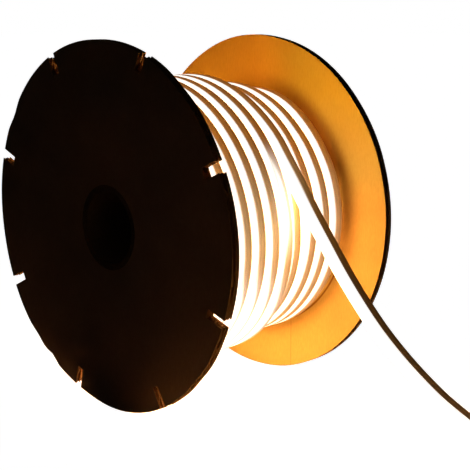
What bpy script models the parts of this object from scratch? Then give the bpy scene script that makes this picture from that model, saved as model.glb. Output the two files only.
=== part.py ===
# Flexible neon light strip wound on a cardboard reel, with its free end pulled off the front.
# Metres. +X runs along the reel's axis from the slotted flange to the plain one, -Y is the front,
# +Z is up, and the reel stands on the floor at Z = 0 with its middle over the origin.

from math import ceil, cos, floor, pi, radians, sin

import bmesh
import bpy
from mathutils import Matrix, Vector

# Reel: the slotted flange is pressed outwards by the winding, so that its middle lies deeper
FLANGE_RADIUS = 0.160
BOARD_THICKNESS = 0.0074
INNER_WIDTH = 0.1750
TUBE_RADIUS = 0.0369
TUBE_WALL = 0.0055
TUBE_RECESS = 0.0004
HUB_DRAWN_IN = 0.0059
RIM_SIDES = 72

# Slots in the rim of one flange, for tying off a loose end
SLOT_COUNT = 8
SLOT_WIDTH = 0.0086
SLOT_DEPTH = 0.0190
FIRST_SLOT_ANGLE = radians(26.5)

# Strip: half of its width is the round light-giving side, the other half the opaque base
FLEX_WIDTH = 0.0158
FLEX_THICKNESS = 0.0085
BASE_CHAMFER = 0.0008
DOME_FACETS = 2

# Winding
FULL_LAYERS = 9
LAYER_SLACK = 0.0004
TOP_TURNS = 6
FAR_END_SPACE = 0.0066
END_GROOVE = 0.0022
WINDING_SIDES = 40
LIFT_OFF_ANGLE = radians(32.3)
LAST_TURN_SWEEP = radians(180.0)

# Free end: centre line from where it leaves the winding to the cap, at this reel's size
TAIL_POINTS = (
    (0.0160, -0.1034, 0.2247),
    (0.0165, -0.1196, 0.2011),
    (0.0178, -0.1356, 0.1778),
    (0.0191, -0.1526, 0.1549),
    (0.0205, -0.1694, 0.1323),
    (0.0219, -0.1879, 0.1103),
    (0.0233, -0.2084, 0.0890),
    (0.0247, -0.2323, 0.0691),
    (0.0261, -0.2593, 0.0508),
    (0.0271, -0.2808, 0.0396),
    (0.0284, -0.3080, 0.0282),
    (0.0298, -0.3380, 0.0184),
    (0.0312, -0.3700, 0.0110),
    (0.0325, -0.4030, 0.0064),
    (0.0336, -0.4370, 0.0048),
    (0.0346, -0.4750, 0.0047),
    (0.0352, -0.5150, 0.0050),
    (0.0356, -0.5600, 0.0062),
)
TAIL_SAMPLES_PER_SPAN = 2

# Cap on the end of the strip
CAP_LENGTH = 0.0130
CAP_WALL = 0.0010
CAP_OVERLAP = 0.0100
CAP_EDGE = 0.0006

# Gap left between neighbours that touch
CLEARANCE = 0.0003

# Worked out from the sizes above
AXIS_HEIGHT = FLANGE_RADIUS * cos(pi / RIM_SIDES)
BORE_RADIUS = TUBE_RADIUS - TUBE_WALL
LAYER_PITCH = FLEX_THICKNESS + LAYER_SLACK
WINDING_BORE = TUBE_RADIUS + CLEARANCE
LOWER_RADIUS = WINDING_BORE + FULL_LAYERS * LAYER_PITCH
TOP_RADIUS = LOWER_RADIUS + LAYER_PITCH
WINDING_LEFT = -INNER_WIDTH / 2 + CLEARANCE
TOP_RIGHT = WINDING_LEFT + TOP_TURNS * FLEX_WIDTH
WINDING_RIGHT = INNER_WIDTH / 2 - FAR_END_SPACE


def clearScene():
    for item in list(bpy.data.objects):
        bpy.data.objects.remove(item, do_unlink=True)


def makeMaterial(name, colour, roughness):
    material = bpy.data.materials.new(name)
    material.use_nodes = True
    shader = material.node_tree.nodes["Principled BSDF"]
    shader.inputs["Base Color"].default_value = (*colour, 1.0)
    shader.inputs["Roughness"].default_value = roughness
    shader.inputs["Metallic"].default_value = 0.0
    material.diffuse_color = (*colour, 1.0)
    return material


def addObject(name, mesh, material, parent=None):
    item = bpy.data.objects.new(name, mesh)
    bpy.context.scene.collection.objects.link(item)
    if material:
        mesh.materials.append(material)
    item.parent = parent
    return item


def finishMesh(name, form):
    bmesh.ops.recalc_face_normals(form, faces=form.faces)
    mesh = bpy.data.meshes.new(name)
    form.to_mesh(mesh)
    form.free()
    mesh.shade_smooth()
    mesh.set_sharp_from_angle(angle=radians(35.0))
    return mesh


def turnedMesh(name, outline, sides, start=0.0, sweep=2 * pi):
    # outline is a closed loop of (along the axis, radius); angles run from the front, upwards
    form = bmesh.new()
    ring = [form.verts.new((x, -r, 0.0)) for x, r in outline]
    edges = [form.edges.new((ring[i - 1], ring[i])) for i in range(len(ring))]
    turn = Matrix.Rotation(-start, 3, "X")
    bmesh.ops.rotate(form, verts=form.verts, matrix=turn)
    whole = sweep > 2 * pi - 1e-6
    caps = [] if whole else [form.faces.new(ring)]
    spun = bmesh.ops.spin(
        form,
        geom=ring + edges,
        axis=(1, 0, 0),
        cent=(0, 0, 0),
        angle=-sweep,
        steps=sides,
    )
    if whole:
        bmesh.ops.remove_doubles(form, verts=form.verts, dist=1e-6)
    if caps:
        last = [edge for edge in spun["geom_last"] if isinstance(edge, bmesh.types.BMEdge)]
        bmesh.ops.contextual_create(form, geom=last)
    return finishMesh(name, form)


def boxAt(form, centre, size, turn):
    made = bmesh.ops.create_cube(form, size=1.0)
    bmesh.ops.scale(form, verts=made["verts"], vec=size)
    bmesh.ops.translate(form, verts=made["verts"], vec=centre)
    bmesh.ops.rotate(form, verts=made["verts"], matrix=turn)


def hideTool(item):
    item.hide_render = True
    item.display_type = "WIRE"


def addBoolean(item, tool, operation):
    hideTool(tool)
    step = item.modifiers.new(operation.title(), "BOOLEAN")
    step.operation = operation
    step.solver = "EXACT"
    step.object = tool


def makeFlange(name, side, drawnIn, material, axle):
    # a board that is flat where the winding has pushed it out, and slopes in to its hole
    inner = INNER_WIDTH / 2
    outer = inner + BOARD_THICKNESS
    hole = TUBE_RADIUS + CLEARANCE
    outline = [(inner - drawnIn, hole), (outer - drawnIn, hole)]
    outline += [(outer, LOWER_RADIUS)] if drawnIn else []
    outline += [(outer, FLANGE_RADIUS), (inner, FLANGE_RADIUS)]
    outline += [(inner, LOWER_RADIUS)] if drawnIn else []
    outline = [(side * x, r) for x, r in outline]
    start = -pi / 2 + pi / RIM_SIDES
    mesh = turnedMesh(name, outline, RIM_SIDES, start=start)
    return addObject(name, mesh, material, axle)


def makeSlotCutter(side, axle):
    form = bmesh.new()
    middle = side * (INNER_WIDTH + BOARD_THICKNESS) / 2
    for index in range(SLOT_COUNT):
        angle = FIRST_SLOT_ANGLE + index * 2 * pi / SLOT_COUNT
        turn = Matrix.Rotation(-angle, 3, "X")
        centre = Vector((middle, -FLANGE_RADIUS, 0.0))
        boxAt(form, centre, (2 * BOARD_THICKNESS, 2 * SLOT_DEPTH, SLOT_WIDTH), turn)
    return addObject("slot_cutter", finishMesh("slot_cutter", form), None, axle)


def makeTube(material, axle):
    right = INNER_WIDTH / 2 + BOARD_THICKNESS - TUBE_RECESS
    left = HUB_DRAWN_IN - right
    outline = [(left, BORE_RADIUS), (right, BORE_RADIUS), (right, TUBE_RADIUS)]
    outline.append((left, TUBE_RADIUS))
    mesh = turnedMesh("core_tube", outline, WINDING_SIDES)
    return addObject("core_tube", mesh, material, axle)


def turnTop(left, radius):
    # one turn seen in section from the left: the round side, the flat top, the base's edge
    depth = FLEX_THICKNESS / 2
    points = []
    for step in range(DOME_FACETS + 1):
        angle = step * pi / 2 / DOME_FACETS
        points.append((left + depth * (1 - cos(angle)), radius - depth * (1 - sin(angle))))
    right = left + FLEX_WIDTH
    points.append((right - BASE_CHAMFER, radius))
    points.append((right, radius - BASE_CHAMFER))
    return points


def endGrooves(end, inward, drawnIn):
    # a groove between each two layers, seen on the end of the winding, bore to rim
    slope = inward * drawnIn / (LOWER_RADIUS - WINDING_BORE)
    points = [(end + inward * drawnIn, WINDING_BORE)]
    for layer in range(1, FULL_LAYERS):
        radius = WINDING_BORE + layer * LAYER_PITCH
        for reach, depth in ((-END_GROOVE / 2, 0.0), (0.0, END_GROOVE), (END_GROOVE / 2, 0.0)):
            face = end + slope * (LOWER_RADIUS - radius - reach)
            points.append((face + inward * depth, radius + reach))
    return points


def windingOutline():
    outline = endGrooves(WINDING_LEFT, 1.0, HUB_DRAWN_IN)
    left = WINDING_LEFT + END_GROOVE
    slope = HUB_DRAWN_IN / (LOWER_RADIUS - WINDING_BORE)
    outline.append((WINDING_LEFT + slope * END_GROOVE / 2, LOWER_RADIUS - END_GROOVE / 2))
    outline.append((left, LOWER_RADIUS))
    for index in range(TOP_TURNS):
        outline += turnTop(WINDING_LEFT + index * FLEX_WIDTH, TOP_RADIUS)
    outline.append((TOP_RIGHT, LOWER_RADIUS))
    bare = WINDING_RIGHT - TOP_RIGHT
    turns = floor(bare / FLEX_WIDTH)
    first = WINDING_RIGHT - turns * FLEX_WIDTH
    outline.append((first - BASE_CHAMFER, LOWER_RADIUS))
    for index in range(turns):
        outline += turnTop(first + index * FLEX_WIDTH, LOWER_RADIUS)
    outline += reversed(endGrooves(WINDING_RIGHT, -1.0, 0.0))
    return outline


def makeWinding(material, axle):
    mesh = turnedMesh("flex_winding", windingOutline(), WINDING_SIDES)
    return addObject("flex_winding", mesh, material, axle)


def makeLastTurn(axle):
    # the last half turn lies on the full layers and ends where the strip lifts off
    sunk = LAYER_PITCH / 8
    section = turnTop(TOP_RIGHT, TOP_RADIUS)
    left = section[0][0] - sunk
    right = section[-1][0]
    outline = [(left, LOWER_RADIUS - sunk), (left, section[0][1])]
    outline += section
    outline.append((right, LOWER_RADIUS - sunk))
    sides = ceil(WINDING_SIDES * LAST_TURN_SWEEP / (2 * pi))
    mesh = turnedMesh("last_turn", outline, sides, LIFT_OFF_ANGLE, LAST_TURN_SWEEP)
    return addObject("last_turn", mesh, None, axle)


def smoothRoute(points, samples):
    # Catmull-Rom curve through the route's points
    knots = [Vector(point) for point in points]
    knots = [2 * knots[0] - knots[1]] + knots + [2 * knots[-1] - knots[-2]]
    route = []
    for index in range(1, len(knots) - 2):
        before, start, end, after = knots[index - 1:index + 3]
        for step in range(samples):
            t = step / samples
            point = 2 * start + (end - before) * t
            point += (2 * before - 5 * start + 4 * end - after) * t * t
            point += (3 * start - before - 3 * end + after) * t * t * t
            route.append(point / 2)
    route.append(knots[-2])
    return route


def flexSection():
    # across the strip: base at +X, round side at -X, centred on the route
    half = FLEX_THICKNESS / 2
    top = turnTop(-FLEX_WIDTH / 2, half)
    bottom = [(x, -y) for x, y in reversed(top[1:])]
    return top + bottom


def makeTail(material):
    route = smoothRoute(TAIL_POINTS, TAIL_SAMPLES_PER_SPAN)
    section = flexSection()
    form = bmesh.new()
    rings = []
    for index, centre in enumerate(route):
        before = route[max(index - 1, 0)]
        after = route[min(index + 1, len(route) - 1)]
        along = (after - before).normalized()
        across = (Vector((1, 0, 0)) - along * along.x).normalized()
        out = across.cross(along)
        rings.append([form.verts.new(centre + across * x + out * y) for x, y in section])
    for first, second in zip(rings, rings[1:]):
        for index in range(len(section)):
            form.faces.new((first[index - 1], first[index], second[index], second[index - 1]))
    form.faces.new(rings[0])
    form.faces.new(rings[-1])
    return addObject("flex_tail", finishMesh("flex_tail", form), material)


def makeCap(material):
    # a cup pushed over the end of the strip, its closed end outwards
    route = smoothRoute(TAIL_POINTS, TAIL_SAMPLES_PER_SPAN)
    along = (route[-1] - route[-2]).normalized()
    across = (Vector((1, 0, 0)) - along * along.x).normalized()
    out = across.cross(along)
    frame = Matrix((across, along, out)).transposed().to_4x4()
    pocket = Vector((FLEX_WIDTH + 2 * CLEARANCE, CAP_OVERLAP, FLEX_THICKNESS + 2 * CLEARANCE))
    body = Vector((pocket.x + 2 * CAP_WALL, CAP_LENGTH, pocket.z + 2 * CAP_WALL))
    form = bmesh.new()
    made = bmesh.ops.create_cube(form, size=1.0)
    bmesh.ops.scale(form, verts=made["verts"], vec=body)
    mouth = min(form.faces, key=lambda face: face.calc_center_median().y)
    rim = [edge for edge in form.edges if edge not in mouth.edges]
    bmesh.ops.bevel(form, geom=rim, offset=CAP_EDGE, segments=1, affect="EDGES")
    cap = addObject("end_cap", finishMesh("end_cap", form), material)
    tool = bmesh.new()
    made = bmesh.ops.create_cube(tool, size=1.0)
    bmesh.ops.scale(tool, verts=made["verts"], vec=(pocket.x, 2 * pocket.y, pocket.z))
    bmesh.ops.translate(tool, verts=made["verts"], vec=(0, -CAP_LENGTH / 2, 0))
    cutter = addObject("cap_pocket", finishMesh("cap_pocket", tool), None)
    middle = route[-1] + along * (CLEARANCE + CAP_LENGTH / 2 - CAP_OVERLAP)
    for item in (cap, cutter):
        item.matrix_world = Matrix.Translation(middle) @ frame
    addBoolean(cap, cutter, "DIFFERENCE")
    return cap


def main():
    clearScene()
    board = makeMaterial("kraft_board", (0.42, 0.22, 0.08), 0.9)
    tubeBoard = makeMaterial("kraft_tube", (0.30, 0.16, 0.07), 0.85)
    silicone = makeMaterial("warm_white_silicone", (0.95, 0.86, 0.70), 0.45)
    capSilicone = makeMaterial("cap_silicone", (0.88, 0.86, 0.82), 0.5)
    axle = bpy.data.objects.new("axle", None)
    bpy.context.scene.collection.objects.link(axle)
    axle.location = (0.0, 0.0, AXIS_HEIGHT)
    slotted = makeFlange("flange_slotted", -1, HUB_DRAWN_IN, board, axle)
    addBoolean(slotted, makeSlotCutter(-1, axle), "DIFFERENCE")
    makeFlange("flange_plain", 1, 0.0, board, axle)
    makeTube(tubeBoard, axle)
    winding = makeWinding(silicone, axle)
    addBoolean(winding, makeLastTurn(axle), "UNION")
    makeTail(silicone)
    makeCap(capSilicone)


main()
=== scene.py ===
from math import asin, atan2, cos, degrees, pi, radians, sin, sqrt

import bmesh
import bpy
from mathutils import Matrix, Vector, noise


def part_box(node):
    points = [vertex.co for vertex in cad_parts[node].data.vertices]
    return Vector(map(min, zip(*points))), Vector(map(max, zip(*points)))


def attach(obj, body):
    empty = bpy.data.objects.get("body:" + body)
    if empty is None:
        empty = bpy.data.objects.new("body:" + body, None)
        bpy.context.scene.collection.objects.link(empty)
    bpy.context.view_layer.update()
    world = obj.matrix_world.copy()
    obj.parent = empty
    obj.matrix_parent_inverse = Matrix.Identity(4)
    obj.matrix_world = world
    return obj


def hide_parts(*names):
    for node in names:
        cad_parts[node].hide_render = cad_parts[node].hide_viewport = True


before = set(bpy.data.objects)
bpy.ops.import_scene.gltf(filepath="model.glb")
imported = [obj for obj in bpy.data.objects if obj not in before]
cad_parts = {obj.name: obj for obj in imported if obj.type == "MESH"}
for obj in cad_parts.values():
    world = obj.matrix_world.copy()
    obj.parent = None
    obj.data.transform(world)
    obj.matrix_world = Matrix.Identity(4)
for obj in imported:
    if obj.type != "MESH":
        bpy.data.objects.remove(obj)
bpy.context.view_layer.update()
print("reel: frame loaded")

# Small clearances between the reel's pieces, in metres
fits = dict(
    tubeBehind=0.0004,      # the tube's end lies behind the slotted flange's face
    roundTube=0.0003,       # between the tube and the strip wound on it
    flangeGrip=0.0001,      # the flanges' holes are tighter than the tube
)

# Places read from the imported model, in metres
slottedLow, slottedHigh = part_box("flange_slotted")
plainLow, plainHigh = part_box("flange_plain")
tubeLow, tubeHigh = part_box("core_tube")
windingLow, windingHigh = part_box("flex_winding")
axisHeight = (slottedLow[2] + slottedHigh[2]) / 2
drawnIn = tubeLow[0] - slottedLow[0] - fits["tubeBehind"]   # the slotted flange's middle lies deeper
rimRadius = (slottedHigh[2] - slottedLow[2]) / 2
tubeRadius = (tubeHigh[2] - tubeLow[2]) / 2
boreRadius = tubeRadius + fits["roundTube"]
windingLeft = windingLow[0]
windingRight = windingHigh[0]

# The viewpoint: where the eye is, how far it looks down, and the way it faces from +Y
viewPoint = dict(
    eye=(-0.6304, -0.7304, 0.3425),
    lookDown=11.82,
    turn=-43.40,
    lens=82.7,
    sensor=36.0,
    nearest=0.01,
)


def makeCamera():
    data = bpy.data.cameras.new("camera")
    data.lens = viewPoint["lens"]
    data.sensor_width = viewPoint["sensor"]
    data.clip_start = viewPoint["nearest"]
    camera = bpy.data.objects.new("camera", data)
    bpy.context.scene.collection.objects.link(camera)
    camera.location = viewPoint["eye"]
    camera.rotation_euler = (radians(90 - viewPoint["lookDown"]), 0, radians(viewPoint["turn"]))
    bpy.context.scene.camera = camera


makeCamera()

# Strip: across runs from the round side to the base, out is away from the reel's axis
strip = dict(
    width=0.0158,
    thickness=0.0085,
    domeSteps=7,
    corner=0.0007,
    cornerSteps=3,
    seam=(-0.0003, 0.00035),    # the groove where the round side meets the base
    seamDepth=0.00035,
    ribDepth=0.00022,
    ribHalfWidth=0.00028,
    ribsAt=(0.0027, 0.0053),
    hollowHalfWidth=0.0010,     # the shallow line along the middle of the base
    hollowDepth=0.0004,
    baseFrom=-0.0002,           # where the opaque base starts
    samplesPerSpan=8,
)

# Free end: centre line from where it leaves the winding to the cap
tailPoints = (
    (0.0146, -0.1034, 0.2247),
    (0.0165, -0.1196, 0.2011),
    (0.0178, -0.1356, 0.1778),
    (0.0191, -0.1526, 0.1549),
    (0.0205, -0.1694, 0.1323),
    (0.0219, -0.1879, 0.1103),
    (0.0233, -0.2084, 0.0890),
    (0.0247, -0.2323, 0.0691),
    (0.0261, -0.2593, 0.0508),
    (0.0271, -0.2808, 0.0396),
    (0.0284, -0.3080, 0.0282),
    (0.0298, -0.3380, 0.0184),
    (0.0312, -0.3700, 0.0110),
    (0.0325, -0.4030, 0.0064),
    (0.0336, -0.4370, 0.0048),
    (0.0346, -0.4750, 0.0047),
    (0.0352, -0.5150, 0.0050),
    (0.0356, -0.5600, 0.0062),
)

# Wound turns: angles are measured from the front, upwards, and fall along the strip
winding = dict(
    layerPitch=0.0089,
    stepsPerTurn=90,
    topMiddle=0.0156,       # where the last turn would cross the front
    topLean=0.0040,
    topTurnsBefore=6,
    lowerMiddle=0.0730,     # where the first turn of the layer below crosses the front
    lowerLean=0.0060,
    lowerStart=2.04,
    climb=0.9,              # angle over which a layer rises onto the one below
    lowerClimb=1.1,
    touch=0.1150,           # how far out the winding touches the plain flange
    drift=0.45,             # angle over which the last turn eases towards the free end
    settle=0.3,             # and over which it takes the free end's distance from the axis
    wander=0.00022,         # how far a turn strays by chance
    wanderPace=0.9,
    wanderSeed=7.3,
)
# How far the layer below strays sideways: degrees along the strip from the front, and metres
strays = (
    (117, -0.0018), (48, -0.0018), (32, -0.0012), (20, -0.0005), (6, -0.0011), (-20, -0.0034),
    (-40, -0.0042), (-90, -0.0040), (-288, -0.0050), (-302, -0.0039), (-312, -0.0034),
    (-328, -0.0019), (-341, -0.0013), (-354, -0.0015), (-368, -0.0025), (-381, -0.0033),
    (-398, -0.0036), (-480, -0.0044), (-661, -0.0044), (-671, -0.0037), (-680, -0.0032),
    (-693, -0.0034), (-710, -0.0030), (-725, -0.0024), (-740, -0.0028), (-757, -0.0031),
    (-1078, -0.0067), (-1091, -0.0058), (-1106, -0.0051), (-1300, -0.0050),
)

topRadius = (windingHigh[2] - windingLow[2]) / 2 - winding["layerPitch"] / 2
lowerRadius = topRadius - winding["layerPitch"]
flatRadius = lowerRadius + winding["layerPitch"] / 2    # outside this radius the flanges are flat


def stripOutline():
    # half of the section over the outer face, then its mirror image, as (across, out) points
    half = strip["thickness"] / 2
    edge = strip["width"] / 2
    middle = -edge + half
    points = []
    for step in range(strip["domeSteps"] + 1):
        angle = pi - step * pi / 2 / strip["domeSteps"]
        points.append((middle + half * cos(angle), half * sin(angle)))
    points.append((strip["seam"][0], half))
    points.append((0.0, half - strip["seamDepth"]))
    points.append((strip["seam"][1], half))
    for rib in strip["ribsAt"]:
        points.append((rib - strip["ribHalfWidth"], half))
        points.append((rib, half - strip["ribDepth"]))
        points.append((rib + strip["ribHalfWidth"], half))
    corner = strip["corner"]
    for step in range(strip["cornerSteps"] + 1):
        angle = pi / 2 - step * pi / 2 / strip["cornerSteps"]
        points.append((edge - corner + corner * cos(angle), half - corner + corner * sin(angle)))
    points.append((edge, strip["hollowHalfWidth"]))
    points.append((edge - strip["hollowDepth"], 0.0))
    mirrored = [(x, -y) for x, y in reversed(points[1:-1])]
    return points + mirrored


def smoothRoute(points, samples):
    # a smooth curve through the route's points, its slope at each one set by its neighbours
    knots = [Vector(point) for point in points]
    knots = [2 * knots[0] - knots[1]] + knots + [2 * knots[-1] - knots[-2]]
    route = []
    for index in range(1, len(knots) - 2):
        before, start, end, after = knots[index - 1:index + 3]
        for step in range(samples):
            t = step / samples
            point = 2 * start + (end - before) * t
            point += (2 * before - 5 * start + 4 * end - after) * t * t
            point += (3 * start - before - 3 * end + after) * t * t * t
            route.append(point / 2)
    route.append(knots[-2])
    return route


def routeLength(route):
    return sum((b - a).length for a, b in zip(route, route[1:]))


def smoothStep(value, low, high):
    t = min(max((value - low) / (high - low), 0.0), 1.0)
    return t * t * (3 - 2 * t)


def frameAt(route, index):
    # the strip's own directions: across towards the base, and out
    before = route[max(index - 1, 0)]
    after = route[min(index + 1, len(route) - 1)]
    along = (after - before).normalized()
    across = (Vector((1, 0, 0)) - along * along.x).normalized()
    return across, along.cross(across)


def distancesRound(outline):
    # how far each point of the section is from its first one, the shorter way round
    around = [0.0]
    for index in range(len(outline)):
        a = outline[index]
        b = outline[(index + 1) % len(outline)]
        around.append(around[-1] + sqrt((a[0] - b[0]) ** 2 + (a[1] - b[1]) ** 2))
    return [min(place, around[-1] - place) for place in around]


def makeStrip(name, route, first, last, materials, travelled=0.0):
    # the section swept from route point first to last, its round side lit and its base opaque
    outline = stripOutline()
    around = distancesRound(outline)
    count = len(outline)
    form = bmesh.new()
    uvLayer = form.loops.layers.uv.new("UVMap")
    rings = []
    lengths = []
    for index in range(first, last + 1):
        centre = route[index]
        if index > first:
            travelled += (centre - route[index - 1]).length
        across, out = frameAt(route, index)
        rings.append([form.verts.new(centre + across * x + out * y) for x, y in outline])
        lengths.append(travelled)
    for step in range(len(rings) - 1):
        lower, upper = rings[step], rings[step + 1]
        for index in range(count):
            follow = (index + 1) % count
            face = form.faces.new((lower[index], upper[index], upper[follow], lower[follow]))
            middle = (outline[index][0] + outline[follow][0]) / 2
            face.material_index = 1 if middle > strip["baseFrom"] else 0
            face.smooth = True
            corners = ((step, index), (step + 1, index), (step + 1, index + 1), (step, index + 1))
            for loop, (ring, point) in zip(face.loops, corners):
                loop[uvLayer].uv = (lengths[ring], around[point])
    for ring in (rings[0], rings[-1]):
        form.faces.new(ring).material_index = 1
    bmesh.ops.recalc_face_normals(form, faces=form.faces)
    return finishPiece(name, form, materials, sharp=38.0)


def finishPiece(name, form, materials, sharp=30.0):
    # the form as an object, smooth but for edges over the sharp angle in degrees
    mesh = bpy.data.meshes.new(name)
    form.to_mesh(mesh)
    form.free()
    mesh.shade_smooth()
    mesh.set_sharp_from_angle(angle=radians(sharp))
    for material in materials:
        mesh.materials.append(material)
    piece = bpy.data.objects.new(name, mesh)
    bpy.context.scene.collection.objects.link(piece)
    return piece


def drawnInAt(radius):
    # how much deeper the slotted flange lies at a radius
    return drawnIn * min(max((flatRadius - radius) / (flatRadius - boreRadius), 0.0), 1.0)


def onReel(x, radius, angle):
    return Vector((x, -radius * cos(angle), axisHeight + radius * sin(angle)))


def turnOutline(form, outline, steps):
    # a closed outline of (x, radius) points turned about the axis: each face with its two points
    rings = []
    for step in range(steps):
        angle = step * 2 * pi / steps
        rings.append([form.verts.new(onReel(x, r, angle)) for x, r in outline])
    turned = []
    for step in range(steps):
        first, second = rings[step], rings[(step + 1) % steps]
        for index in range(len(outline)):
            follow = (index + 1) % len(outline)
            face = form.faces.new((first[index], second[index], second[follow], first[follow]))
            turned.append((face, outline[index], outline[follow]))
    return turned


def wanderAt(angle, layer):
    # a hand-guided turn is never dead even
    place = Vector((angle * winding["wanderPace"], layer * winding["wanderSeed"], 0.0))
    return winding["wander"] * noise.noise(place)


def topRoute(radius, tail):
    # the last layer, from where it climbs up beside the slotted flange to where it lifts off
    start = winding["topTurnsBefore"] * 2 * pi + winding["climb"]
    leave = tail[0]
    leaveAngle = atan2(leave.z - axisHeight, -leave.y)
    leaveRadius = sqrt(leave.y ** 2 + (leave.z - axisHeight) ** 2)
    pitch = strip["width"] / (2 * pi)
    nearest = windingLeft + strip["width"] / 2

    def acrossAt(angle):
        return winding["topMiddle"] - pitch * angle - winding["topLean"] * sin(angle)

    missing = leave.x - acrossAt(leaveAngle)
    steps = int((start - leaveAngle) / (2 * pi) * winding["stepsPerTurn"])
    route = []
    for step in range(steps):
        angle = start + (leaveAngle - start) * step / steps
        ease = 1 - smoothStep(angle, leaveAngle, leaveAngle + winding["drift"])
        x = max(acrossAt(angle) + missing * ease + wanderAt(angle, 1) * (1 - ease), nearest)
        rise = smoothStep(start - angle, 0.0, winding["climb"])
        r = radius - winding["layerPitch"] * (1 - rise)
        settled = 1 - smoothStep(angle, leaveAngle, leaveAngle + winding["settle"])
        r += (leaveRadius - radius) * settled
        route.append(onReel(x, r, angle))
    return route


def strayAt(angle):
    # sideways stray of the layer below, eased from one measured place to the next
    place = degrees(angle)
    if place >= strays[0][0]:
        return strays[0][1]
    for (first, here), (second, there) in zip(strays, strays[1:]):
        if place >= second:
            return here + (there - here) * smoothStep(first - place, 0.0, first - second)
    return strays[-1][1]


def lowerRoute(radius):
    # the full layer below, from the plain flange to the slotted one
    pitch = strip["width"] / (2 * pi)
    farthest = windingRight - strip["width"] / 2
    nearest = windingLeft + strip["width"] / 2
    start = winding["lowerStart"]
    end = -(winding["lowerMiddle"] + strays[-1][1] - nearest) / pitch
    steps = int((start - end) / (2 * pi) * winding["stepsPerTurn"])
    route = []
    for step in range(steps + 1):
        angle = start + (end - start) * step / steps
        x = winding["lowerMiddle"] + pitch * angle - winding["lowerLean"] * sin(angle)
        x += strayAt(angle)
        rise = smoothStep(start - angle, 0.0, winding["lowerClimb"])
        r = radius - winding["layerPitch"] * (1 - rise)
        route.append(onReel(min(max(x, nearest), farthest), r, angle))
    return route


# Materials


def newMaterial(name):
    material = bpy.data.materials.new(name)
    material.use_nodes = True
    nodes = material.node_tree.nodes
    return material, nodes, material.node_tree.links, nodes["Principled BSDF"]


def feed(links, value, socket):
    # a link where the value comes from a node, and the plain number or colour where it doesn't
    if isinstance(value, bpy.types.NodeSocket):
        links.new(value, socket)
    elif isinstance(value, tuple):
        socket.default_value = (*value, 1.0)
    else:
        socket.default_value = value


def mixColours(nodes, links, factor, first, second, blend="MIX"):
    mix = nodes.new("ShaderNodeMix")
    mix.data_type = "RGBA"
    mix.blend_type = blend
    feed(links, factor, mix.inputs[0])
    feed(links, first, mix.inputs[6])
    feed(links, second, mix.inputs[7])
    return mix.outputs[2]


def mixNumbers(nodes, links, factor, first, second):
    mix = nodes.new("ShaderNodeMix")
    feed(links, factor, mix.inputs[0])
    feed(links, first, mix.inputs[2])
    feed(links, second, mix.inputs[3])
    return mix.outputs[0]


def mathNode(nodes, links, operation, first, second=0.0):
    node = nodes.new("ShaderNodeMath")
    node.operation = operation
    feed(links, first, node.inputs[0])
    feed(links, second, node.inputs[1])
    return node.outputs[0]


def times(nodes, links, first, second):
    return mathNode(nodes, links, "MULTIPLY", first, second)


def plus(nodes, links, first, second):
    return mathNode(nodes, links, "ADD", first, second)


def minus(nodes, links, first, second):
    return mathNode(nodes, links, "SUBTRACT", first, second)


def vectorNode(nodes, links, operation, place, fixed):
    node = nodes.new("ShaderNodeVectorMath")
    node.operation = operation
    links.new(place, node.inputs[0])
    node.inputs[1].default_value = fixed
    return node.outputs


def stretchPlace(nodes, links, place, scale):
    stretch = nodes.new("ShaderNodeMapping")
    stretch.inputs["Scale"].default_value = scale
    links.new(place, stretch.inputs["Vector"])
    return stretch.outputs[0]


def addNoise(nodes, links, place, **values):
    texture = nodes.new("ShaderNodeTexNoise")
    for name, value in values.items():
        texture.inputs[name].default_value = value
    links.new(place, texture.inputs["Vector"])
    return texture.outputs["Fac"]


def addRamp(nodes, links, factor, *stops):
    # a colour that changes with the factor, each stop a place and a colour
    ramp = nodes.new("ShaderNodeValToRGB")
    for element, (place, colour) in zip(ramp.color_ramp.elements, stops):
        element.position = place
        element.color = (*colour, 1.0)
    links.new(factor, ramp.inputs[0])
    return ramp.outputs[0]


def fade(nodes, links, value, start, end, low=0.0, high=1.0):
    # high at the start, low from the end on
    ranged = nodes.new("ShaderNodeMapRange")
    ranged.interpolation_type = "SMOOTHSTEP"
    names = ("From Min", "From Max", "To Min", "To Max")
    for name, number in zip(names, (start, end, high, low)):
        ranged.inputs[name].default_value = number
    links.new(value, ranged.inputs["Value"])
    return ranged.outputs[0]


def placeCoordinates(nodes, links):
    # the point in the part's own frame, whole and split into X, Y and Z
    place = nodes.new("ShaderNodeTexCoord").outputs["Object"]
    split = nodes.new("ShaderNodeSeparateXYZ")
    links.new(place, split.inputs[0])
    return place, split.outputs


def stripCoordinates(nodes, links):
    # whole, then metres along the strip, and round its section from the middle of the round side
    unrolled = nodes.new("ShaderNodeTexCoord").outputs["UV"]
    split = nodes.new("ShaderNodeSeparateXYZ")
    links.new(unrolled, split.inputs[0])
    return unrolled, split.outputs[0], split.outputs[1]


def addBump(nodes, links, shader, height, distance, strength):
    bump = nodes.new("ShaderNodeBump")
    bump.inputs["Distance"].default_value = distance
    bump.inputs["Strength"].default_value = strength
    links.new(height, bump.inputs["Height"])
    links.new(bump.outputs[0], shader.inputs["Normal"])


glow = dict(
    colour=(0.93, 0.85, 0.72),
    cloudy=(0.88, 0.79, 0.64),
    cloudScale=60.0,
    light=(1.0, 0.62, 0.24),    # what it throws on the board and the table
    wound=(8.5, 26.0),          # at the top and back, and at the front towards the free end
    loose=(10.0, 10.0),
    span=(-0.07, 0.07),         # from the one to the other, in metres frontward
    shown=(1.0, 0.97, 0.90),    # how it looks itself
    shownEdge=(1.0, 0.83, 0.76),
    shownStrength=1.15,
    shownEdgeStrength=0.55,
    edge=(0.0080, 0.0101),      # how far round from the middle of the round side the light fades
    shownEdgeFrom=0.0088,
    roughness=0.38,
    forward=-0.95,              # what counts as the front: the shares of -Y and of down
    down=0.3,
)


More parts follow.
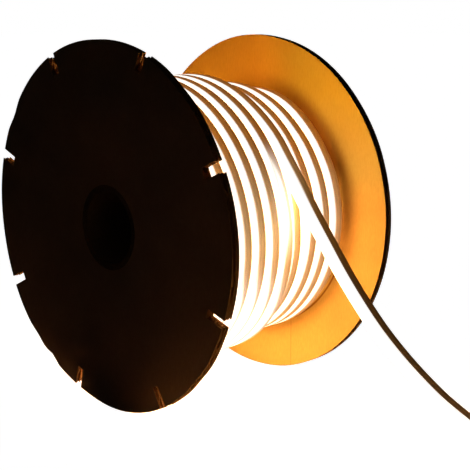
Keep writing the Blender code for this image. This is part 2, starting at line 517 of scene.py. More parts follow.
def frontward(nodes, links, y, z):
    # grows from the top of the back to the bottom of the front, 0 on the axis
    forward = times(nodes, links, y, glow["forward"])
    lowered = minus(nodes, links, axisHeight, z)
    down = times(nodes, links, lowered, glow["down"])
    return plus(nodes, links, forward, down)


def makeGlowMaterial(name, strengths):
    # milky silicone lit from inside, weaker beside the base
    material, nodes, links, shader = newMaterial(name)
    _, _, perimeter = stripCoordinates(nodes, links)
    place, (x, y, z) = placeCoordinates(nodes, links)
    front = frontward(nodes, links, y, z)
    middle = fade(nodes, links, front, *glow["span"], *reversed(strengths))
    edge = fade(nodes, links, perimeter, *glow["edge"])
    thrown = times(nodes, links, edge, middle)
    shownEdge = glow["shownEdgeFrom"], glow["edge"][1]
    rim = fade(nodes, links, perimeter, *shownEdge)
    shown = fade(
        nodes, links, perimeter, *shownEdge, glow["shownEdgeStrength"], glow["shownStrength"]
    )
    seen = nodes.new("ShaderNodeLightPath").outputs["Is Camera Ray"]
    links.new(mixNumbers(nodes, links, seen, thrown, shown), shader.inputs["Emission Strength"])
    colour = mixColours(nodes, links, rim, glow["shownEdge"], glow["shown"])
    colour = mixColours(nodes, links, seen, glow["light"], colour)
    links.new(colour, shader.inputs["Emission Color"])
    cloud = addNoise(nodes, links, place, Scale=glow["cloudScale"], Detail=2.0)
    milky = addRamp(nodes, links, cloud, (0.3, glow["cloudy"]), (0.7, glow["colour"]))
    links.new(milky, shader.inputs["Base Color"])
    shader.inputs["Roughness"].default_value = glow["roughness"]
    addBump(nodes, links, shader, cloud, distance=0.0001, strength=0.3)
    return material


base = dict(
    streak=(0.86, 0.80, 0.74),
    streakScale=(6.0, 2600.0, 1.0),
    streakShare=0.6,
    leakEdge=(1.0, 0.90, 0.74),
    leakSpan=(0.0091, 0.0135),      # round the section, beside the round side
    leakPower=2.5,
    bloom=(0.86, 0.89, 0.92),
    bloomCore=0.2,                  # the share of its reach over which a bloom is at its full
    edge=(0.0135, 0.0175),          # painted shade: darker towards the far edge
    edgeShadeTint=(0.80, 0.71, 0.60),
    shadedTowardsFreeEnd=(-0.02, 0.07),        # painted shade, along the strip from the place where it leaves the reel
    dulling=(-0.14, -0.08),         # where the last turn's bloom dies away before that place
    roughness=0.42,
)
woundBase = dict(
    colour=(0.60, 0.42, 0.25),
    beside=(0.20, 0.9),     # light leaking in beside the round side, at the back and at the front
    through=(0.225, 0.23),  # and over the whole base
    leak=((1.0, 0.36, 0.06), (1.0, 0.80, 0.44)),
    span=(0.065, 0.130),    # from the back to the front
)
# painted shade: a darker copy of the base, with less light in it, for the free end that the wound turns
# don't light
shadedFreeEndBase = dict(
    colour=(0.34, 0.22, 0.12),
    beside=(0.22, 0.07),
    through=(0.13, 0.035),
    leak=((1.0, 0.40, 0.06), (1.0, 0.40, 0.07)),
    span=(0.09, 0.20),
)
blooms = (                  # places where the base all but drowns in light
    dict(middle=(0.003, -0.122, 0.188), reach=0.058, strength=0.64, narrow=3.0, creep=0.0040),
    dict(middle=(-0.035, -0.095, 0.075), reach=0.075, strength=0.80, narrow=1.0, creep=0.0060),
)


def addBlooms(nodes, links, place):
    # how strong the bloom is over the base, and how far it creeps in from the round side
    strong = creeping = 0.0
    for bloom in blooms:
        narrow, reach = bloom["narrow"], bloom["reach"]
        x, y, z = bloom["middle"]
        scaled = vectorNode(nodes, links, "MULTIPLY", place, (narrow, 1.0, 1.0))[0]
        gap = vectorNode(nodes, links, "DISTANCE", scaled, (x * narrow, y, z))["Value"]
        share = fade(nodes, links, gap, reach * base["bloomCore"], reach)
        strength = times(nodes, links, share, bloom["strength"])
        strong = plus(nodes, links, strength, strong)
        creep = times(nodes, links, share, bloom["creep"])
        creeping = plus(nodes, links, creep, creeping)
    return strong, creeping


def addLeak(nodes, links, lit, near, front):
    # strength and colour of the light that comes through the base
    beside = fade(nodes, links, front, *lit["span"], *reversed(lit["beside"]))
    through = fade(nodes, links, front, *lit["span"], *reversed(lit["through"]))
    besides = times(nodes, links, near, beside)
    strength = plus(nodes, links, besides, through)
    ahead = fade(nodes, links, front, *lit["span"], 1.0, 0.0)
    colour = mixColours(nodes, links, ahead, *lit["leak"])
    return strength, mixColours(nodes, links, near, colour, base["leakEdge"])


def makeBaseMaterial(name, shadedTowardsFreeEnd):
    # opaque base, with fine lines from moulding and a little light leaking in beside the round side
    material, nodes, links, shader = newMaterial(name)
    unrolled, along, perimeter = stripCoordinates(nodes, links)
    stretched = stretchPlace(nodes, links, unrolled, base["streakScale"])
    streaks = addNoise(nodes, links, stretched, Scale=1.0, Detail=3.0)
    streaked = addRamp(nodes, links, streaks, (0.35, base["streak"]), (0.62, (1.0, 1.0, 1.0)))
    place, (x, y, z) = placeCoordinates(nodes, links)
    front = frontward(nodes, links, y, z)
    blooming, creeping = addBlooms(nodes, links, place)
    far = minus(nodes, links, perimeter, creeping)
    near = fade(nodes, links, far, *base["leakSpan"])
    near = mathNode(nodes, links, "POWER", near, base["leakPower"])
    leak, colour = addLeak(nodes, links, woundBase, near, front)
    silicone = woundBase["colour"]
    if shadedTowardsFreeEnd:
        # painted shade: the last turn darkens towards the place where the strip leaves the reel
        free = fade(nodes, links, along, *base["shadedTowardsFreeEnd"], 1.0, 0.0)
        looseLeak, looseColour = addLeak(nodes, links, shadedFreeEndBase, near, front)
        leak = mixNumbers(nodes, links, free, leak, looseLeak)
        dull = fade(nodes, links, along, *base["dulling"], 1.0, 0.0)
        blooming = mixNumbers(nodes, links, dull, blooming, 0.0)
        colour = mixColours(nodes, links, free, colour, looseColour)
        silicone = mixColours(nodes, links, free, silicone, shadedFreeEndBase["colour"])
    silicone = mixColours(nodes, links, base["streakShare"], silicone, streaked, "MULTIPLY")
    # painted shade along the base's far edge, on its colour and on its light
    edge = fade(nodes, links, perimeter, *base["edge"], 1.0, 0.0)
    silicone = mixColours(nodes, links, edge, silicone, base["edgeShadeTint"], "MULTIPLY")
    links.new(silicone, shader.inputs["Base Color"])
    whole = plus(nodes, links, leak, blooming)
    share = mathNode(nodes, links, "DIVIDE", blooming, whole)
    light = mixColours(nodes, links, share, colour, base["bloom"])
    light = mixColours(nodes, links, edge, light, base["edgeShadeTint"], "MULTIPLY")
    links.new(whole, shader.inputs["Emission Strength"])
    links.new(light, shader.inputs["Emission Color"])
    shader.inputs["Roughness"].default_value = base["roughness"]
    addBump(nodes, links, shader, streaks, distance=0.00008, strength=0.5)
    return material


litWinding = makeGlowMaterial("lit_silicone", glow["wound"])
litLoose = makeGlowMaterial("lit_free_end", glow["loose"])
baseBelow = makeBaseMaterial("opaque_base", False)
baseOnTop = makeBaseMaterial("opaque_base_to_free_end", True)
woundSilicone = litWinding, baseBelow
topSilicone = litWinding, baseOnTop
looseSilicone = litLoose, baseOnTop
print("reel: strip materials made")

# The free end comes first, because the cord's length and room are checked
tailRoute = smoothRoute(tailPoints, strip["samplesPerSpan"])
topTurns = topRoute(topRadius, tailRoute)
wholeTop = topTurns + tailRoute
liftOff = len(topTurns)
flexTail = makeStrip("free_end", wholeTop, liftOff, len(wholeTop) - 1, looseSilicone)

# Wound strip, its lengths counted from the place where it leaves the reel
topLength = routeLength(wholeTop[:liftOff + 1])
topLayer = makeStrip("wound_top_layer", wholeTop, 0, liftOff, topSilicone, -topLength)
lowerTurns = lowerRoute(lowerRadius)
lowerLayer = makeStrip("wound_layer_below", lowerTurns, 0, len(lowerTurns) - 1, woundSilicone)

# The layers underneath, as one turned body
inner = dict(
    around=120,
    bulgeSteps=8,
    sideGap=0.0002,
    bevelRun=0.002,
)


def makeInnerLayers():
    # each turn's edge shows on the two ends, round on the left and square on the right
    half = strip["thickness"] / 2
    corner = strip["corner"]
    count = int(round((lowerRadius - boreRadius) / winding["layerPitch"] - 0.5))
    middles = [boreRadius + (layer + 0.5) * winding["layerPitch"] for layer in range(count)]
    right = windingRight - inner["sideGap"]
    outline = []
    for middle in middles:
        left = windingLeft + inner["sideGap"] + drawnInAt(middle)
        for step in range(inner["bulgeSteps"] + 1):
            angle = -pi / 2 + step * pi / inner["bulgeSteps"]
            outline.append((left + half * (1 - cos(angle)), middle + half * sin(angle)))
    for middle in reversed(middles):
        outline.append((right - inner["bevelRun"], middle + half))
        outline.append((right - corner, middle + half))
        outline.append((right, middle + half - corner))
        outline.append((right, middle - half + corner))
        outline.append((right - corner, middle - half))
        outline.append((right - inner["bevelRun"], middle - half))
    form = bmesh.new()
    uvLayer = form.loops.layers.uv.new("UVMap")
    for face, start, end in turnOutline(form, outline, inner["around"]):
        face.material_index = 1 if start[0] > 0 else 0
        for loop in face.loops:
            loop[uvLayer].uv = (0.0, strip["width"] * face.material_index)
    bmesh.ops.recalc_face_normals(form, faces=form.faces)
    return finishPiece("inner_layers", form, woundSilicone, sharp=40.0)


innerLayers = makeInnerLayers()
print("reel: winding made")

# Corrugated board: two layers of flutes between three sheets of liner
board = dict(
    liner=0.0005,
    innerLiner=0.0004,
    outerFlutes=0.0033,
    flutePitch=(0.0078, 0.0062),
    flutePhase=(0.0, 1.3),
    fluteCrest=1.25,        # above 1, the waves have flat crests
    leastFlute=0.0004,      # shorter bits of flute are left out
    flutesTo=0.9995,        # and so are those farther out than this share of the rim's radius
    weld=0.00001,
    faceOn=0.9,             # how squarely a side of a sheet looks along the axis to be its face
    paper=0.00032,
    stepsPerFlute=8,
    inset=0.0002,           # the cut edge lies inside the solid's rim, and the flutes inside the liners
    unevenness=0.0004,      # how far the cut edge waves
    unevenPace=3.1,
    unevenSeed=(9.0, 4.0),  # for the plain flange and for the slotted one
    rimStep=radians(2.5),
    rimClear=0.01,          # no point of the rim lies closer to a slot, as an angle
    slotMouth=0.0006,       # how far inside the rim a slot's width is taken
    slotLean=0.0009,
    slotLeanPace=7,
    middleSteps=96,
)
slots = (                   # angle from the front upwards, width and length
    dict(angle=25.2, width=0.0096, length=0.0170),
    dict(angle=68.6, width=0.0078, length=0.0165),
    dict(angle=115.6, width=0.0088, length=0.0190),
    dict(angle=161.7, width=0.0092, length=0.0180),
    dict(angle=206.6, width=0.0086, length=0.0195),
    dict(angle=254.3, width=0.0074, length=0.0215),
    dict(angle=299.1, width=0.0072, length=0.0190),
    dict(angle=340.8, width=0.0074, length=0.0190),
)
dents = (                   # angle, reach and depth of what is off, or on, the slotted flange's rim
    (249.0, 38.0, 0.0028),
    (85.0, 45.0, 0.0011),
    (4.0, 36.0, -0.0018),
    (146.4, 7.0, 0.0022),
    (238.0, 5.0, 0.0030),
    (228.0, 6.0, 0.0012),
    (52.0, 9.0, 0.0008),
    (318.0, 8.0, 0.0009),
)


def rimAt(angle, dented):
    # radius of the cut edge at an angle from the front, upwards
    radius = rimRadius - board["inset"]
    seed = board["unevenSeed"][1 if dented else 0]
    pace = board["unevenPace"]
    wave = noise.noise(Vector((cos(angle) * pace, sin(angle) * pace, seed)))
    radius -= board["unevenness"] * (0.5 + wave)
    if dented:
        for place, reach, depth in dents:
            gap = abs((degrees(angle) - place + 180) % 360 - 180)
            radius -= depth * (1 - smoothStep(gap, 0.0, reach))
    return radius


def slotCorners(slot):
    # where a slot starts and ends on the rim, and its two inner corners
    angle = radians(slot["angle"])
    forward, up = cos(angle), sin(angle)
    half = slot["width"] / 2
    inward = rimRadius - slot["length"]
    side = asin(half / (rimRadius - board["slotMouth"]))
    lean = board["slotLean"] * sin(board["slotLeanPace"] * angle)
    corners = []
    for aside in (lean - half, lean + half):
        corners.append((inward * forward - aside * up, inward * up + aside * forward))
    return angle - side, angle + side, corners


def rimOutline(slotted):
    # closed outline as (forward, up) points, with the slots let in
    clear = board["rimClear"]
    steps = int(round(2 * pi / board["rimStep"]))
    marks = [(step * 2 * pi / steps, None) for step in range(steps)]
    cuts = slots if slotted else ()
    for slot in cuts:
        start, end, corners = slotCorners(slot)
        marks = [mark for mark in marks if not start - clear < mark[0] < end + clear]
        marks.append((start, corners))
        marks.append((end, None))
    points = []
    for angle, corners in sorted(marks, key=lambda mark: mark[0]):
        radius = rimAt(angle, slotted)
        points.append((radius * cos(angle), radius * sin(angle)))
        if corners:
            points += corners
    return points


def makeLiner(name, x, thickness, slotted, hole, materials):
    # one sheet with the hole for the tube, its first material on the -X face
    form = bmesh.new()
    outer = [form.verts.new((x, -f, axisHeight + u)) for f, u in rimOutline(slotted)]
    around = board["middleSteps"]
    angles = [step * 2 * pi / around for step in range(around)]
    rings = []
    for radius in (flatRadius, (flatRadius + hole) / 2, hole):
        place = x + (drawnInAt(radius) if slotted else 0.0)
        rings.append([form.verts.new(onReel(place, radius, angle)) for angle in angles])
    edges = []
    for ring in (outer, rings[0]):
        edges += [form.edges.new((ring[i - 1], ring[i])) for i in range(len(ring))]
    bmesh.ops.triangle_fill(form, use_beauty=True, edges=edges)
    for first, second in zip(rings, rings[1:]):
        for i in range(around):
            form.faces.new((first[i - 1], first[i], second[i], second[i - 1]))
    for face in form.faces:
        face.normal_update()
        if face.normal.x > 0:
            face.normal_flip()
    made = bmesh.ops.extrude_face_region(form, geom=list(form.faces))
    moved = [item for item in made["geom"] if isinstance(item, bmesh.types.BMVert)]
    bmesh.ops.translate(form, verts=moved, vec=(thickness, 0, 0))
    bmesh.ops.recalc_face_normals(form, faces=form.faces)
    for face in form.faces:
        face.normal_update()
        if abs(face.normal.x) > board["faceOn"]:
            face.material_index = 0 if face.normal.x < 0 else 1
        else:
            face.material_index = 2
    return finishPiece(name, form, materials, sharp=20.0)


def slotSpan(slot, y):
    # the stretch of height that a slot takes out of the column at y, or nothing
    angle = radians(slot["angle"])
    half = slot["width"] / 2
    inward = rimRadius - slot["length"]
    upright = 1e-6      # a slot or its end that leans less than this counts as upright
    f, low, high = -y, -1.0, 1.0
    across, rising = cos(angle), sin(angle)
    if abs(across) < upright:
        if abs(f) > half:
            return None
    else:
        ends = sorted(((-half + f * rising) / across, (half + f * rising) / across))
        low, high = max(low, ends[0]), min(high, ends[1])
    if rising > upright:
        low = max(low, (inward - f * across) / rising)
    elif rising < -upright:
        high = min(high, (inward - f * across) / rising)
    return (low, high) if high > low else None


def cutSpans(spans, cut):
    # what is left of the spans when one stretch is taken out
    left = []
    for low, high in spans:
        if cut[0] < high and cut[1] > low:
            left += [(low, cut[0])] if cut[0] > low else []
            left += [(cut[1], high)] if cut[1] < high else []
        else:
            left.append((low, high))
    return left


def columnSpans(y, slotted, hole):
    # where the board is solid along a vertical flute at y
    if abs(y) >= rimRadius * board["flutesTo"]:
        return []
    ends = []
    for way in (-1, 1):
        z = way * sqrt(max(rimRadius ** 2 - y ** 2, 0.0))
        for _ in range(4):      # the rim is uneven, so its height is found in a few steps
            radius = rimAt(atan2(z, -y) % (2 * pi), slotted) - board["inset"]
            z = way * sqrt(max(radius ** 2 - y ** 2, 0.0))
        ends.append(z)
    spans = [(ends[0], ends[1])]
    cuts = [slotSpan(slot, y) for slot in slots] if slotted else []
    if abs(y) < hole:
        opening = sqrt(hole ** 2 - y ** 2)
        cuts.append((-opening, opening))
    for cut in cuts:
        if cut:
            spans = cutSpans(spans, cut)
    return spans


def makeFlutes(name, low, high, pitch, slotted, hole, material, phase):
    # one wavy sheet of paper, its flutes upright, as far in as the board is flat
    middle = (low + high) / 2
    swing = (high - low - board["paper"]) / 2
    step = pitch / board["stepsPerFlute"]
    least = board["leastFlute"]
    form = bmesh.new()

    def waveAt(y):
        turn = 2 * pi * y / pitch + phase
        return middle + swing * max(-1.0, min(1.0, board["fluteCrest"] * sin(turn)))

    for index in range(int(2 * rimRadius / step)):
        near = -rimRadius + index * step
        far = near + step
        nearSpans = columnSpans(near, slotted, hole)
        farSpans = columnSpans(far, slotted, hole)
        if len(nearSpans) != len(farSpans):
            nearSpans = farSpans = columnSpans((near + far) / 2, slotted, hole)
        for (a, b), (c, d) in zip(nearSpans, farSpans):
            if b - a < least and d - c < least:
                continue
            corners = ((near, a), (near, b), (far, d), (far, c))
            form.faces.new([form.verts.new((waveAt(y), y, axisHeight + z)) for y, z in corners])
    bmesh.ops.remove_doubles(form, verts=form.verts, dist=board["weld"])
    piece = finishPiece(name, form, (material,), sharp=60.0)
    solid = piece.modifiers.new("paper", "SOLIDIFY")
    solid.thickness = board["paper"]
    solid.offset = 0.0
    return piece


kraft = dict(
    inner=((0.50, 0.278, 0.074), (0.56, 0.322, 0.087)),
    high=(1.0, 0.90, 0.30),         # painted shade: what the inner liner's colour is multiplied by high up
    low=(1.0, 1.20, 1.15),          # painted light: lighter low down beside the winding
    front=(0.76, 1.02, 1.10),       # painted shade: less red high up at the front
    shadeBesideTopTurns=(0.40, 0.22, 0.08),        # painted shade beside the winding's top turns
    touch=(0.45, 0.26, 0.10),       # painted contact shadow along the line where the winding touches it
    outer=((0.44, 0.245, 0.120), (0.50, 0.285, 0.145)),
    blots=16.0,
    fibres=900.0,
    fibre=(0.76, 0.70, 0.62),
    fibreShare=0.5,
    grain=0.22,                     # fibres lie upright, so their pattern is drawn out in height
    wash=0.35,                      # how much of the relief is the flutes showing through
    crease=0.0488,                  # in front of the axis
    creaseHalfWidth=0.0006,
    creaseShare=0.4,
    creased=(0.24, 0.10, 0.03),
    roughness=0.92,
    specular=0.15,
)
paintedLightSpans = dict(                   # where each patch of painted light and shade fades in or out, in metres
    inFront=(-0.060, 0.0),          # along Y
    besideWinding=(0.111, 0.130),   # out from the axis
    upFront=(-0.01, 0.05),          # above the axis, as are the next three
    aboveAxis=(0.02, 0.05),
    belowAxis=(-0.06, -0.02),
    highUp=(0.04, 0.12),
    contactShadowLine=(0.0004, 0.0014),     # painted contact shadow, to either side of the line
)
cutEdge = dict(
    slotted=((0.20, 0.09, 0.03), (0.40, 0.20, 0.075)),
    # painted shade: the plain flange's cut paper is a much darker copy of the slotted flange's
    plain=((0.06, 0.028, 0.010), (0.13, 0.064, 0.025)),
    fibres=1500.0,
    roughness=0.95,
    specular=0.1,
)


def addFibres(nodes, links, place, scale):
    stretched = stretchPlace(nodes, links, place, (1.0, 1.0, kraft["grain"]))
    return addNoise(nodes, links, stretched, Scale=scale, Detail=6.0, Roughness=0.65)


def paintLightAndShadeInner(nodes, links, colour, y, z):
    # painted light and shade on the inner liner, darker and lighter in places around the winding
    spans = paintedLightSpans
    lifted = minus(nodes, links, z, axisHeight)
    squares = [times(nodes, links, side, side) for side in (y, lifted)]
    out = mathNode(nodes, links, "SQRT", plus(nodes, links, *squares))
    front = fade(nodes, links, y, *spans["inFront"])
    near = fade(nodes, links, out, *spans["besideWinding"])
    beside = times(nodes, links, near, front)
    rising = fade(nodes, links, lifted, *spans["upFront"], 1.0, 0.0)
    above = fade(nodes, links, lifted, *spans["aboveAxis"], 1.0, 0.0)
    below = fade(nodes, links, lifted, *spans["belowAxis"])
    aside = minus(nodes, links, out, winding["touch"])
    aside = mathNode(nodes, links, "ABSOLUTE", aside)
    line = times(nodes, links, fade(nodes, links, aside, *spans["contactShadowLine"]), below)
    parts = (
        (fade(nodes, links, lifted, *spans["highUp"], 1.0, 0.0), kraft["high"]),
        (times(nodes, links, rising, front), kraft["front"]),
        (times(nodes, links, beside, below), kraft["low"]),
        (times(nodes, links, beside, above), kraft["shadeBesideTopTurns"]),
        (times(nodes, links, line, front), kraft["touch"]),
    )
    for share, tint in parts:
        colour = mixColours(nodes, links, share, colour, tint, "MULTIPLY")
    return colour


def addCrease(nodes, links, colour, y, z):
    # a dark upright line below the axis
    gap = plus(nodes, links, y, kraft["crease"])
    gap = mathNode(nodes, links, "ABSOLUTE", gap)
    below = mathNode(nodes, links, "LESS_THAN", z, axisHeight)
    near = mathNode(nodes, links, "LESS_THAN", gap, kraft["creaseHalfWidth"])
    line = times(nodes, links, times(nodes, links, near, below), kraft["creaseShare"])
    return mixColours(nodes, links, line, colour, kraft["creased"])


def makeLinerMaterial(name, colours, pitch, inside):
    # kraft liner with fibres, blots and the flutes showing through
    material, nodes, links, shader = newMaterial(name)
    place, (x, y, z) = placeCoordinates(nodes, links)
    fibres = addFibres(nodes, links, place, kraft["fibres"])
    blots = addNoise(nodes, links, place, Scale=kraft["blots"], Detail=4.0)
    colour = addRamp(nodes, links, blots, (0.35, colours[0]), (0.65, colours[1]))
    fibrous = addRamp(nodes, links, fibres, (0.30, kraft["fibre"]), (0.62, (1.0, 1.0, 1.0)))
    colour = mixColours(nodes, links, kraft["fibreShare"], colour, fibrous, "MULTIPLY")
    if inside:
        colour = addCrease(nodes, links, colour, y, z)
        # painted light and shade on the inner liner around the winding
        colour = paintLightAndShadeInner(nodes, links, colour, y, z)
    links.new(colour, shader.inputs["Base Color"])
    wash = mathNode(nodes, links, "SINE", times(nodes, links, y, 2 * pi / pitch))
    wash = times(nodes, links, wash, kraft["wash"])
    height = plus(nodes, links, wash, fibres)
    addBump(nodes, links, shader, height, distance=0.00012, strength=0.5)
    shader.inputs["Roughness"].default_value = kraft["roughness"]
    shader.inputs["Specular IOR Level"].default_value = kraft["specular"]
    return material


def makeCutMaterial(name, dark, light, scale):
    # cut paper edges
    material, nodes, links, shader = newMaterial(name)
    place, _ = placeCoordinates(nodes, links)
    fibres = addFibres(nodes, links, place, scale)
    links.new(addRamp(nodes, links, fibres, (0.35, dark), (0.7, light)), shader.inputs["Base Color"])
    addBump(nodes, links, shader, fibres, distance=0.00012, strength=0.5)
    shader.inputs["Roughness"].default_value = cutEdge["roughness"]
    shader.inputs["Specular IOR Level"].default_value = cutEdge["specular"]
    return material


innerFace = makeLinerMaterial("kraft_inner_liner", kraft["inner"], board["flutePitch"][1], True)
outerFace = makeLinerMaterial("kraft_outer_liner", kraft["outer"], board["flutePitch"][0], False)
cutPaper = makeCutMaterial("cut_paper", *cutEdge["slotted"], cutEdge["fibres"])
shadedPlainCut = makeCutMaterial("cut_paper_painted_shade", *cutEdge["plain"], cutEdge["fibres"])


def makeFlange(name, low, high, outside, slotted):
    # outside is -1 where the outer face looks to -X and 1 where it looks to +X
    hole = tubeRadius - fits["flangeGrip"]
    outer = low if outside < 0 else high
    ends = [0.0, board["liner"], board["liner"] + board["outerFlutes"]]
    ends += [ends[2] + board["innerLiner"], high - low - board["liner"], high - low]
    places = [outer - outside * end for end in ends]
    made = []
    # the plain flange takes the cut paper darkened with painted shade
    cut = cutPaper if slotted else shadedPlainCut
    for label, first, second, face in (
        ("outer_liner", 0, 1, outerFace),
        ("middle_liner", 2, 3, cut),
        ("inner_liner", 4, 5, innerFace),
    ):
        start = min(places[first], places[second])
        thickness = abs(places[first] - places[second])
        faces = (face, face, cut)
        made.append(makeLiner(name + "_" + label, start, thickness, slotted, hole, faces))
    for index, (first, second) in enumerate(((1, 2), (3, 4))):
        start, end = sorted((places[first], places[second]))
        pitch, phase = board["flutePitch"][index], board["flutePhase"][index]
        label = "%s_flutes_%d" % (name, index + 1)
        made.append(makeFlutes(label, start, end, pitch, slotted, flatRadius, cut, phase))
    return made


boardThickness = plainHigh[0] - plainLow[0]
slottedOuter = slottedLow[0]
slottedPieces = makeFlange("slotted_flange", slottedOuter, slottedOuter + boardThickness, -1, True)
plainPieces = makeFlange("plain_flange", plainLow[0], plainHigh[0], 1, False)
print("reel: flanges made")

# Core tube: wound board, its plies showing on the ends
tube = dict(
    wall=0.0055,
    plies=7,
    plyFlat=(0.3, 0.75),    # between the grooves, as shares of a ply
    groove=0.00025,
    grooveStart=0.00002,
    bevel=0.0005,
    around=120,
    light=(0.34, 0.165, 0.065),
    dark=(0.24, 0.11, 0.04),
    fibres=800.0,
    seam=(0.10, 0.04, 0.015),
    seamTurns=9.0,          # turns that the seam makes in a metre of tube
    seamHalfWidth=0.012,    # in turns
    seamShare=0.6,
    seamDepth=2.0,
    ends=((0.16, 0.07, 0.025), (0.36, 0.17, 0.065)),
    endFibres=1400.0,
    roughness=0.85,
    specular=0.15,
)


def makeTubeMaterial():
    material, nodes, links, shader = newMaterial("tube_board")
    place, (x, y, z) = placeCoordinates(nodes, links)
    lifted = minus(nodes, links, z, axisHeight)
    angle = mathNode(nodes, links, "ARCTAN2", lifted, y)
    turned = mathNode(nodes, links, "DIVIDE", angle, 2 * pi)
    travelled = times(nodes, links, x, tube["seamTurns"])
    turns = plus(nodes, links, turned, travelled)
    seam = mathNode(nodes, links, "PINGPONG", turns, 0.5)
    line = mathNode(nodes, links, "LESS_THAN", seam, tube["seamHalfWidth"])
    fibres = addFibres(nodes, links, place, tube["fibres"])
    colour = addRamp(nodes, links, fibres, (0.3, tube["dark"]), (0.7, tube["light"]))
    share = times(nodes, links, line, tube["seamShare"])
    links.new(mixColours(nodes, links, share, colour, tube["seam"]), shader.inputs["Base Color"])
    depth = times(nodes, links, line, tube["seamDepth"])
    height = minus(nodes, links, fibres, depth)
    addBump(nodes, links, shader, height, distance=0.0001, strength=0.5)
    shader.inputs["Roughness"].default_value = tube["roughness"]
    shader.inputs["Specular IOR Level"].default_value = tube["specular"]
    return material


def makeTube():
    # turned wall with rounded mouths and a shallow groove between the plies on each end
    bore = tubeRadius - tube["wall"]
    ply = tube["wall"] / tube["plies"]
    outline = []
    for end, inward in ((tubeLow[0], 1), (tubeHigh[0], -1)):
        mouth = []
        for index in range(tube["plies"]):
            start = bore + index * ply
            mouth.append((end + inward * tube["groove"], start + tube["grooveStart"]))
            for share in tube["plyFlat"]:
                mouth.append((end, start + ply * share))
        mouth[0] = (end + inward * tube["bevel"], bore)
        mouth.append((end + inward * tube["bevel"], tubeRadius))
        outline += mouth if inward > 0 else mouth[::-1]
    form = bmesh.new()
    for face, start, end in turnOutline(form, outline, tube["around"]):
        atEnd = abs(start[0] - end[0]) < tube["wall"]
        face.material_index = 1 if atEnd else 0
    bmesh.ops.recalc_face_normals(form, faces=form.faces)
    endBoard = makeCutMaterial("tube_ends", *tube["ends"], tube["endFibres"])
    return finishPiece("board_tube", form, (makeTubeMaterial(), endBoard), sharp=35.0)


boardTube = makeTube()
print("reel: tube made")

# Cap on the end of the strip
cap = dict(
    wall=0.0010,
    length=0.0130,
    overlap=0.0100,         # how far back from the strip's end the mouth lies, with the play
    play=0.0003,            # all round the strip
    lip=0.0003,
    lipRounding=0.0008,
    lipBevel=0.0006,
    grip=0.0001,            # the pocket is tighter than the wall alone makes it
    closed=((0.0003, -0.0010), (0.0, -0.0024)),     # its rounding: back from the end, off the width
    closedFrom=0.0012,
    ribs=3,
    ribHeight=0.00025,
    ribsFrom=0.0022,
    ribPitch=0.0026,
    ribEdges=(0.0, 0.0004, 0.0010, 0.0014),
    rounding=0.0016,
    colour=(0.74, 0.70, 0.62),
    cloudy=(0.60, 0.56, 0.49),
    cloudScale=300.0,
    roughness=0.5,
    light=(1.0, 0.86, 0.62),
    lightStrength=0.12,
)


def roundedSection(width, height, radius, steps=5):
    points = []
    for quarter, (cornerX, cornerY) in enumerate(((1, 1), (-1, 1), (-1, -1), (1, -1))):
        for step in range(steps + 1):
            angle = quarter * pi / 2 + step * pi / 2 / steps
            x = cornerX * (width / 2 - radius) + radius * cos(angle)
            y = cornerY * (height / 2 - radius) + radius * sin(angle)
            points.append((x, y))
    return points


def capStations():
    # from the bottom of the pocket, over the lip and the ribs to the closed end: where each
    # section stands, and what it has over or under the cap's full width
    body = -2 * cap["ribHeight"]
    pocket = -2 * cap["wall"]
    inside = pocket - cap["grip"]
    stations = [(cap["length"] - cap["wall"], inside), (cap["lip"], inside)]
    stations += [(0.0, pocket + cap["lipBevel"]), (0.0, -cap["lipRounding"]), (cap["lip"], body)]
    for index in range(cap["ribs"]):
        start = cap["ribsFrom"] + index * cap["ribPitch"]
        for edge, extra in zip(cap["ribEdges"], (body, 0.0, 0.0, body)):
            stations.append((start + edge, extra))
    stations.append((cap["length"] - cap["closedFrom"], body))
    stations += [(cap["length"] - back, extra) for back, extra in cap["closed"]]
    return stations


def makeCap(material):
    # moulded cup with grip ribs, open towards the strip
    end = tailRoute[-1]
    along = (tailRoute[-1] - tailRoute[-2]).normalized()
    across, out = frameAt(tailRoute, len(tailRoute) - 1)
    mouth = end + along * (cap["play"] - cap["overlap"])
    width = strip["width"] + 2 * cap["play"] + 2 * cap["wall"]
    height = strip["thickness"] + 2 * cap["play"] + 2 * cap["wall"]
    form = bmesh.new()
    rings = []
    for distance, extra in capStations():
        centre = mouth + along * distance
        section = roundedSection(width + extra, height + extra, cap["rounding"])
        rings.append([form.verts.new(centre + across * x + out * y) for x, y in section])
    for first, second in zip(rings, rings[1:]):
        for index in range(len(first)):
            form.faces.new((first[index - 1], first[index], second[index], second[index - 1]))
    form.faces.new(rings[0])
    form.faces.new(rings[-1])
    bmesh.ops.recalc_face_normals(form, faces=form.faces)
    return finishPiece("moulded_cap", form, (material,), sharp=40.0)


def makeCapMaterial():
    material, nodes, links, shader = newMaterial("cap_silicone")
    place, _ = placeCoordinates(nodes, links)
    cloud = addNoise(nodes, links, place, Scale=cap["cloudScale"], Detail=3.0)
    milky = addRamp(nodes, links, cloud, (0.3, cap["cloudy"]), (0.7, cap["colour"]))
    links.new(milky, shader.inputs["Base Color"])
    addBump(nodes, links, shader, cloud, distance=0.00005, strength=0.4)
    shader.inputs["Roughness"].default_value = cap["roughness"]
    shader.inputs["Emission Color"].default_value = (*cap["light"], 1.0)
    shader.inputs["Emission Strength"].default_value = cap["lightStrength"]
    return material


mouldedCap = makeCap(makeCapMaterial())
print("reel: cap made")

# Stage: a plain white table that runs out of sight, with soft light all round
stage = dict(
    floor=(0.36, 0.36, 0.36),
    floorReach=12.0,
    floorBelow=0.0004,
    floorRoughness=0.9,
    ambient=0.0064,
    ambientColour=(1.0, 1.03, 1.20),
    keyEnergy=0.02,
    keySize=1.2,
    keyColour=(1.0, 0.95, 0.88),
    keyFrom=(-0.3, -1.1, 1.3),
    keyTo=(0, 0, 0.16),
)


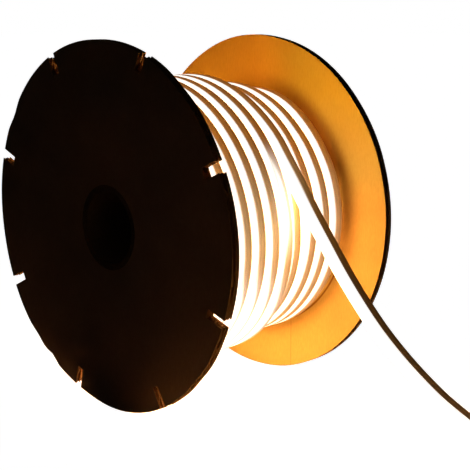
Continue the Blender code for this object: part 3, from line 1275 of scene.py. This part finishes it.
def makeTable():
    # it looks pure white to the camera, and takes the reel's light as a grey one would
    form = bmesh.new()
    bmesh.ops.create_grid(form, x_segments=2, y_segments=2, size=stage["floorReach"])
    material, nodes, links, shader = newMaterial("white_table")
    shader.inputs["Base Color"].default_value = (*stage["floor"], 1.0)
    shader.inputs["Roughness"].default_value = stage["floorRoughness"]
    shader.inputs["Emission Color"].default_value = (1.0, 1.0, 1.0, 1.0)
    seen = nodes.new("ShaderNodeLightPath").outputs["Is Camera Ray"]
    links.new(seen, shader.inputs["Emission Strength"])
    table = finishPiece("table", form, (material,))
    table.location = (0, 0, -stage["floorBelow"])


def makeSurroundings():
    # white behind the reel, and nearly dark for what lights it
    world = bpy.data.worlds.new("studio")
    world.use_nodes = True
    nodes, links = world.node_tree.nodes, world.node_tree.links
    background = nodes["Background"]
    seen = nodes.new("ShaderNodeLightPath").outputs["Is Camera Ray"]
    colour = mixColours(nodes, links, seen, stage["ambientColour"], (1.0, 1.0, 1.0))
    links.new(colour, background.inputs["Color"])
    strength = mixNumbers(nodes, links, seen, stage["ambient"], 1.0)
    links.new(strength, background.inputs["Strength"])
    bpy.context.scene.world = world


def makeKeyLight():
    light = bpy.data.lights.new("soft_key", "AREA")
    light.energy = stage["keyEnergy"]
    light.size = stage["keySize"]
    light.color = stage["keyColour"]
    key = bpy.data.objects.new("soft_key", light)
    bpy.context.scene.collection.objects.link(key)
    key.location = stage["keyFrom"]
    aim = Vector(stage["keyTo"]) - key.location
    key.rotation_euler = aim.to_track_quat("-Z", "Y").to_euler()


makeTable()
makeSurroundings()
makeKeyLight()
bpy.context.scene.view_settings.view_transform = "Standard"
print("reel: stage made")

# What each piece rides on; the imported parts are hidden
stripPieces = [flexTail, topLayer, lowerLayer, innerLayers]
boardPieces = slottedPieces + plainPieces
for piece in stripPieces + [boardTube, mouldedCap] + boardPieces:
    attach(piece, "root")
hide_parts("flange_slotted")
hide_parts("flange_plain")
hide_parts("core_tube")
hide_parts("flex_winding")
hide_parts("flex_tail")
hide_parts("end_cap")
print("reel: done")
